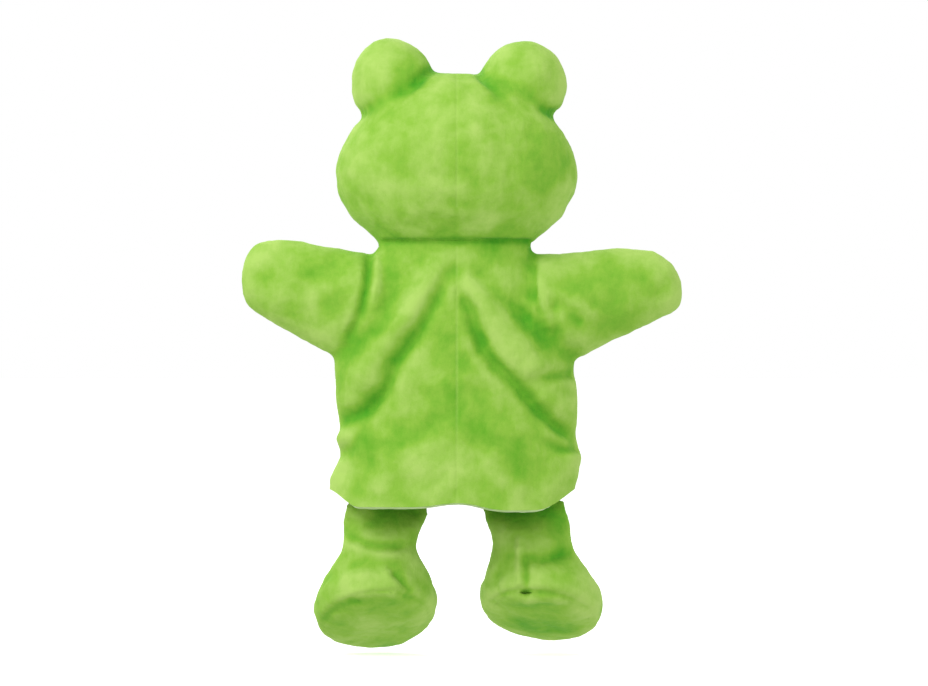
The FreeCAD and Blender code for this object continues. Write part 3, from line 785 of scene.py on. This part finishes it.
def head_pieces(skin):
    over_arms = [over_arm(side) for _, side in SIDES]
    head = cut_from(skin, "head_skin", (level(NECK_TWIST[0]), UP), *over_arms)
    neck = cut_from(head, "neck_gather", (level(NECK_TWIST[1]), DOWN))
    cloth(neck, PLUSH_FRONT)
    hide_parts("neck_seam")
    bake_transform(neck)
    chin = cut_from(head, "head_base_plush", (level(NECK_ROCK[0]), UP), (level(NECK_ROCK[1]), DOWN))
    cloth(chin, PLUSH_FRONT)
    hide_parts("neck_sleeve")
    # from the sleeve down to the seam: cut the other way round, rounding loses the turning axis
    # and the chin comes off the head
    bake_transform(chin)

    under_domes = [(dome_root(side), -dome_up(side)) for _, side in SIDES]
    skull = cut_from(head, "skull_skin", (level(HEAD_NOD[0]), UP), *under_domes)
    panels = (("head_back_left", PLUSH_BODY, ((level(0), BACK), (level(0), LEFT)), (82, 74)),
              ("head_back_right", PLUSH_BODY, ((level(0), BACK), (level(0), RIGHT)), (82, 74)),
              ("head_face", PLUSH_FRONT, ((level(0), FRONT),), (165, 74)))
    for name, plush, cuts, flat in panels:
        panel = cut_from(skull, f"{name}_plush", *cuts)
        cloth(panel, plush)
        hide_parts(name)
        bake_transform(panel)
    for name, side in SIDES:
        dome = cut_from(head, f"eye_dome_plush_{name}", (dome_root(side), dome_up(side)))
        cloth(dome, PLUSH_PLAIN)
        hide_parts(f"eye_dome_{name}")
        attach(dome, "head")

    fibre = cut_from(head, "head_fibre", (level(HEAD_NOD[0] + 4), UP), fill=True)
    shrunk(fibre, FIBRE_DEPTH)
    finish_modifier(fibre, "REMESH", mode="VOXEL", voxel_size=FIBRE_VOXEL * MM, use_smooth_shade=True)
    rumpled(fibre, height=1.0, size=12, seed=13)
    dressed(fibre, FIBRE)
    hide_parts("head_stuffing", "eye_stuffing_left", "eye_stuffing_right")
    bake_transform(fibre)
    face_pieces(head)
    discard(head, skull)


def dome_root(side):
    return Vector((side * 33, 0, 202))


def dome_up(side):
    return Vector((side * 0.5, 0, 0.866))


# ---- face and belly
IN_FRONT = -300         # far enough ahead of the face
THREAD_SUNK = 0.1       # how far a thread sinks into the pile
NOSTRIL_ASIDE, NOSTRIL_CURVE = 5.6, 0.8
NOSTRIL_FOOT, NOSTRIL_STEP, NOSTRIL_THREADS = 169.3, 0.62, 8
FELT_RADIUS = 10.8


def hit(tree, x, z):
    """Where a line from the front meets the skin, and the way the skin faces there."""
    place, normal, _, _ = tree.ray_cast(Vector((x, IN_FRONT, z)) * MM, BACK)
    return place, normal


def tree_of(obj):
    mesh = obj.data
    return BVHTree.FromPolygons([v.co for v in mesh.vertices], [p.vertices for p in mesh.polygons])


def laid_on(name, skin, centre, radii, thickness, lift=0.3, rings=9):
    """An oval of cloth that lies on the front of the skin, with a rounded edge; centre is (x, z)."""
    clear_selection()
    middle = Vector((centre[0], 0, centre[1])) * MM
    bpy.ops.mesh.primitive_circle_add(vertices=72, radius=MM, fill_type="NGON", rotation=(pi / 2, 0, 0),
                                      location=middle)
    disc = bpy.context.object
    disc.name = disc.data.name = name
    bpy.ops.object.transform_apply(location=True, rotation=True, scale=True)
    bpy.ops.object.mode_set(mode="EDIT")
    bpy.ops.mesh.select_all(action="SELECT")
    for _ in range(rings):
        bpy.ops.mesh.inset(thickness=MM / (rings + 1))
    bpy.ops.mesh.poke()
    bpy.ops.mesh.select_all(action="SELECT")
    bpy.ops.transform.resize(value=(radii[0], 1, radii[1]), center_override=middle)
    bpy.ops.object.mode_set(mode="OBJECT")
    tree = tree_of(skin)
    for vertex in disc.data.vertices:
        place, normal = hit(tree, vertex.co.x / MM, vertex.co.z / MM)
        vertex.co = place + normal * lift * MM
    finish_modifier(disc, "SMOOTH", factor=0.5, iterations=2)
    choose(disc)
    bpy.ops.object.mode_set(mode="EDIT")
    bpy.ops.mesh.select_all(action="SELECT")
    bpy.ops.mesh.normals_make_consistent(inside=False)
    bpy.ops.object.mode_set(mode="OBJECT")
    if disc.data.polygons[0].normal.y > 0:
        disc.data.flip_normals()
    finish_modifier(disc, "SOLIDIFY", thickness=thickness * MM, offset=1.0, use_even_offset=False)
    finish_modifier(disc, "BEVEL", width=0.32 * thickness * MM, segments=2, limit_method="ANGLE",
                    angle_limit=radians(50))
    choose(disc)
    bpy.ops.object.shade_smooth_by_angle(angle=radians(60))
    return disc


def stitched(name, skin, path, width, thread=0.75):
    """Satin stitch: threads side by side across a path of (x, z) points."""
    tree = tree_of(skin)
    clear_selection()
    bpy.ops.mesh.primitive_cylinder_add(vertices=8, radius=1, depth=1, end_fill_type="TRIFAN")
    thread_form = bpy.context.object
    bpy.ops.object.mode_set(mode="EDIT")
    bpy.ops.mesh.select_all(action="SELECT")
    bpy.ops.mesh.bevel(offset=0.3, segments=2, affect="EDGES")
    bpy.ops.object.mode_set(mode="OBJECT")
    threads = []
    for (x, z), (ahead_x, ahead_z) in zip(path, path[1:]):
        place, normal = hit(tree, x, z)
        onward, _ = hit(tree, ahead_x, ahead_z)
        forward = (onward - place).normalized()
        across = normal.cross(forward).normalized()
        outward = forward.cross(across)
        one = copy_of(thread_form, "thread")
        frame_of_thread = Matrix((forward, outward, across)).transposed().to_4x4()
        size = Matrix.Diagonal((thread * 0.5 * MM, thread * 0.62 * MM, width * MM, 1))
        sunk = Matrix.Translation(place - outward * THREAD_SUNK * MM)
        one.data.transform(sunk @ frame_of_thread @ size)
        threads.append(one)
    choose(*threads)
    bpy.ops.object.join()
    row = bpy.context.object
    row.name = row.data.name = name
    discard(thread_form)
    choose(row)
    bpy.ops.object.shade_smooth_by_angle(angle=radians(50))
    dressed(row, THREAD)
    return row


def mouth_path():
    radius, middle, half = 46, 194.5, 35
    steps = 130
    xs = [half * (2 * i / steps - 1) for i in range(steps + 1)]
    return [(x, middle - sqrt(radius * radius - x * x)) for x in xs]


def face_pieces(head):
    mouth = stitched("mouth_embroidery", head, mouth_path(), 2.4)
    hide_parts("mouth_stitching")
    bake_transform(mouth)
    rows = []
    for _, side in SIDES:
        path = [(side * (NOSTRIL_ASIDE + NOSTRIL_CURVE * sin(pi * i / (NOSTRIL_THREADS - 1))),
                 NOSTRIL_FOOT + NOSTRIL_STEP * i) for i in range(NOSTRIL_THREADS)]
        rows.append(stitched("nostril", head, path, 2.6))
    choose(*rows)
    bpy.ops.object.join()
    nostrils = bpy.context.object
    nostrils.name = nostrils.data.name = "nostril_embroidery"
    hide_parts("nostril_stitching")
    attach(nostrils, "head")
    for name, side in SIDES:
        low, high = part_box(f"eye_pupil_{name}")
        middle = (low + high) / 2 / MM
        disc = laid_on(f"eye_felt_disc_{name}", head, (middle.x, middle.z), (FELT_RADIUS, FELT_RADIUS),
                       EYE_FELT)
        dressed(disc, FELT)
        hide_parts(f"eye_felt_{name}")
        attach(disc, "head")
        for part in ("eye_pupil", "eye_washer"):
            dressed(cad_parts[f"{part}_{name}"], ACRYLIC)
    dressed(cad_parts["finger_tube"], CARD)


# ---- studio
FLOOR = -77.0
CAMERA_PLACE = (-3.5 * MM, 2.579, 81 * MM)
LENS = 200
TABLE_GLOW = 0.62
SKY_LIGHT, SKY_SEEN = 0.78, 1.0
AIM = (0, 0, 0.08)      # metres, as the lamps' places are
LAMPS = (               # name, place, size, watts
    ("key", (0.9, 0.8, 1.0), 0.7, 10),
    ("fill", (-1.3, 1.4, 0.5), 1.2, 3.5),
    ("front_key", (0.5, -1.3, 0.9), 0.9, 10),
)


def light_table():
    """A white light table that glows a little, so that it meets the white studio without a line."""
    clear_selection()
    bpy.ops.mesh.primitive_plane_add(size=40, location=(0, 0, FLOOR * MM))
    table = bpy.context.object
    table.name = "light_table"
    bpy.ops.object.transform_apply(location=True, rotation=True, scale=True)
    opal = fibrous("opal_acrylic_table", "F1F1F1", "F6F6F6", 3.0, 0.9, 0.01)
    shader = opal.node_tree.nodes["Principled BSDF"]
    linked(opal.node_tree, shader, {"Emission Color": (1, 1, 1, 1), "Emission Strength": TABLE_GLOW})
    dressed(table, opal)
    table.visible_diffuse = False
    table.visible_glossy = False


def camera_behind():
    camera_data = bpy.data.cameras.new("camera")
    camera_data.lens = LENS
    camera = bpy.data.objects.new("camera", camera_data)
    bpy.context.scene.collection.objects.link(camera)
    camera.location = CAMERA_PLACE
    camera.rotation_euler = (pi / 2, 0, pi)
    bpy.context.scene.camera = camera


def studio_light():
    """A white room, a little brighter to the camera than the light it gives, and three soft lamps."""
    world = bpy.data.worlds.new("studio")
    bpy.context.scene.world = world
    world.use_nodes = True
    tree = world.node_tree
    seen = node(tree, "ShaderNodeLightPath").outputs["Is Camera Ray"]
    strength = node(tree, "ShaderNodeMapRange", {"Value": seen, "To Min": SKY_LIGHT,
                                                 "To Max": SKY_SEEN}).outputs[0]
    linked(tree, tree.nodes["Background"], {"Color": (1, 1, 1, 1), "Strength": strength})
    bpy.context.scene.view_settings.view_transform = "Standard"
    for name, place, size, power in LAMPS:
        light = bpy.data.lights.new(name, "AREA")
        light.size, light.energy = size, power
        lamp = bpy.data.objects.new(name, light)
        lamp.location = place
        lamp.rotation_euler = (Vector(AIM) - Vector(place)).to_track_quat("-Z", "Y").to_euler()
        bpy.context.scene.collection.objects.link(lamp)


def main():
    skin = puppet_skin()
    open_at_hem(skin)
    glove_pieces(skin)
    for name, side in SIDES:
        arm_pieces(skin, name, side)
        leg_pieces(name, side)
    head_pieces(skin)
    discard(skin)
    light_table()
    camera_behind()
    studio_light()


main()
